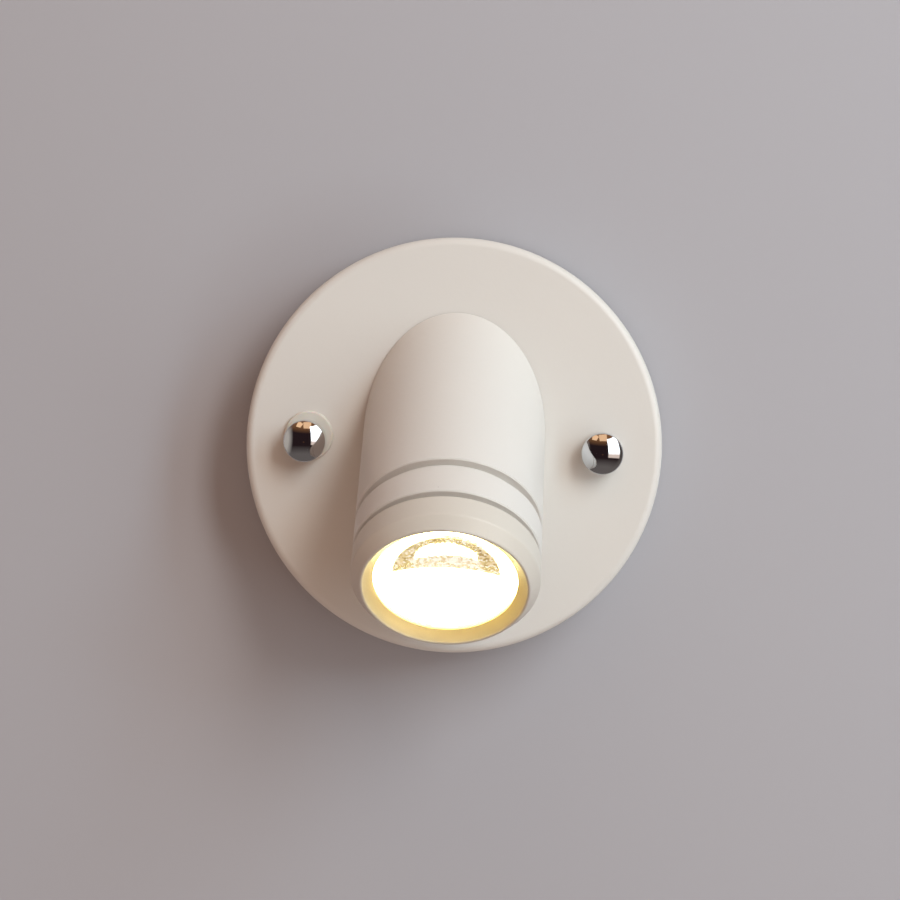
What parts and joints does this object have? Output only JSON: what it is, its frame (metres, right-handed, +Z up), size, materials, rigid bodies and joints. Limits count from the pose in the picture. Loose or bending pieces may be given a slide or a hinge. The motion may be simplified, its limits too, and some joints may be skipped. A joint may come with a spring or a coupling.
{
  "type": "wall spotlight",
  "caption": "Round wall canopy with a short slanted spotlight head that swivels on it, held by cap nuts, with a screwed glass ring and an inner LED.",
  "frame": {"origin": "centre of the bracket's wall face, on the swivel axis", "axes": "+Z up, +X to the right seen from the front, front faces -Y, the wall is the plane y = 0"},
  "size_m": [0.1, 0.07, 0.1],
  "materials": {
    "white_paint": "satin powder coat, off-white",
    "chrome": "polished chrome plate",
    "zinc_steel": "zinc-plated steel",
    "brass": "bare brass",
    "aluminium": "machined aluminium",
    "gasket_foam": "closed-cell foam rubber",
    "washer_plastic": "off-white nylon",
    "bush_plastic": "natural acetal",
    "block_plastic": "natural polyamide",
    "driver_plastic": "black moulded case",
    "holder_plastic": "white polycarbonate",
    "lens_plastic": "clear acrylic, lit by the emitter",
    "glass": "clear flat glass",
    "silicone": "translucent grey silicone",
    "board_white": "white solder mask on aluminium",
    "emitter": "phosphor-coated emitter",
    "pad_grey": "thermal silicone sheet",
    "lead_dark": "silicone-insulated lead",
    "lead_red": "insulated mains lead, brown",
    "lead_earth": "insulated earth lead, green"
  },
  "bodies": {
    "base": {"wall_bracket": "zinc_steel", "bracket_screws": "zinc_steel", "lock_nuts": "zinc_steel", "earth_washer": "zinc_steel", "earth_screw": "brass", "earth_lead": "lead_earth", "wall_gasket": "gasket_foam", "canopy": "white_paint", "nut_washer": "washer_plastic", "cap_nuts": "chrome", "swivel_bush": "bush_plastic", "led_driver": "driver_plastic", "driver_screws": "zinc_steel", "terminal_block": "block_plastic", "terminal_clamps": "brass", "terminal_screws": "zinc_steel", "block_screws": "zinc_steel", "mains_leads": "lead_red", "driver_lead": "lead_dark"},
    "head": {"swivel_stem": "zinc_steel", "stop_washer": "zinc_steel", "spring_washer": "zinc_steel", "swivel_nut": "zinc_steel", "foot_seal": "silicone", "head_body": "white_paint", "bezel_ring": "white_paint", "front_glass": "glass", "glass_seal": "silicone", "tir_lens": "lens_plastic", "lens_holder": "holder_plastic", "led_board": "board_white", "led_emitter": "emitter", "board_screws": "zinc_steel", "thermal_pad": "pad_grey", "heat_spreader": "aluminium", "led_lead": "lead_dark"}
  },
  "joints": [
    {"name": "head_swivel", "type": "hinge", "parent": "base", "child": "head", "pos_m": [0, -0.02, 0], "axis": [0, -1, 0], "range_deg": [-55, 55]}
  ]
}
